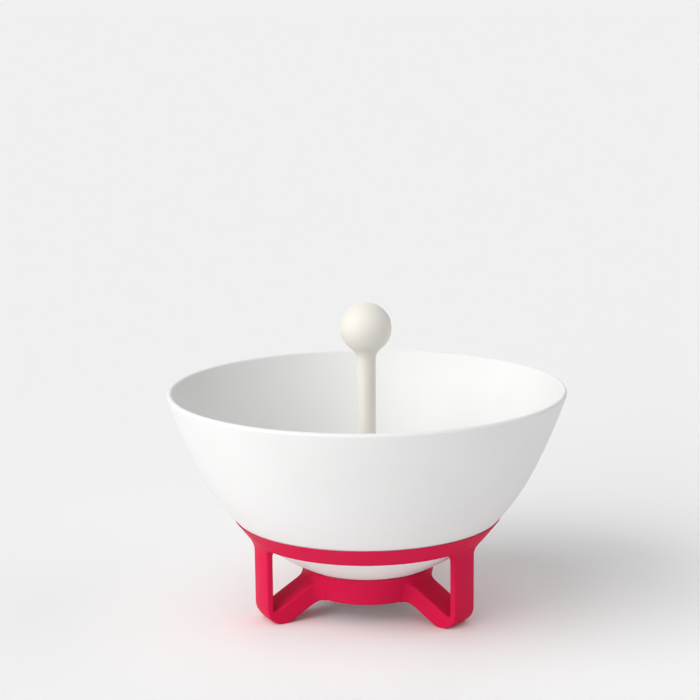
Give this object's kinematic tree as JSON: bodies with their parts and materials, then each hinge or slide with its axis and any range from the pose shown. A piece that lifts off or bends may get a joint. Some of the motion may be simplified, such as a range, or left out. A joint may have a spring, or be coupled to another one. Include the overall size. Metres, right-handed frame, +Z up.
{
  "type": "berry colander bowl",
  "caption": "Rinsing bowl on a three-legged cradle stand, with a slotted strainer and a ball-knobbed lift stopper that closes the drain.",
  "frame": {"origin": "centre of the footprint, on the table under the bowl's axis", "axes": "+Z up along the bowl's axis, +Y toward the back leg, the stand's open front toward -Y"},
  "size_m": [0.18, 0.18, 0.1417],
  "materials": {
    "crimson_plastic": "satin moulded plastic",
    "white_plastic": "satin moulded plastic",
    "ivory_plastic": "satin moulded plastic",
    "soft_silicone": "matt translucent silicone"
  },
  "bodies": {
    "stand": {"stand": "crimson_plastic"},
    "bowl": {"bowl": "white_plastic"},
    "strainer": {"strainer": "ivory_plastic", "strainer_gasket": "soft_silicone"},
    "plunger": {"knob_and_stem": "ivory_plastic", "stopper_plate": "ivory_plastic", "stopper_seal": "soft_silicone"}
  },
  "joints": [
    {"name": "bowl_lift", "type": "slide", "parent": "stand", "child": "bowl", "axis": [0, 0, 1], "range_m": [0, 0.06]},
    {"name": "strainer_lift", "type": "slide", "parent": "bowl", "child": "strainer", "axis": [0, 0, 1], "range_m": [0, 0.1]},
    {"name": "stem_lift", "type": "slide", "parent": "strainer", "child": "plunger", "axis": [0, 0, 1], "range_m": [0, 0.006]}
  ]
}
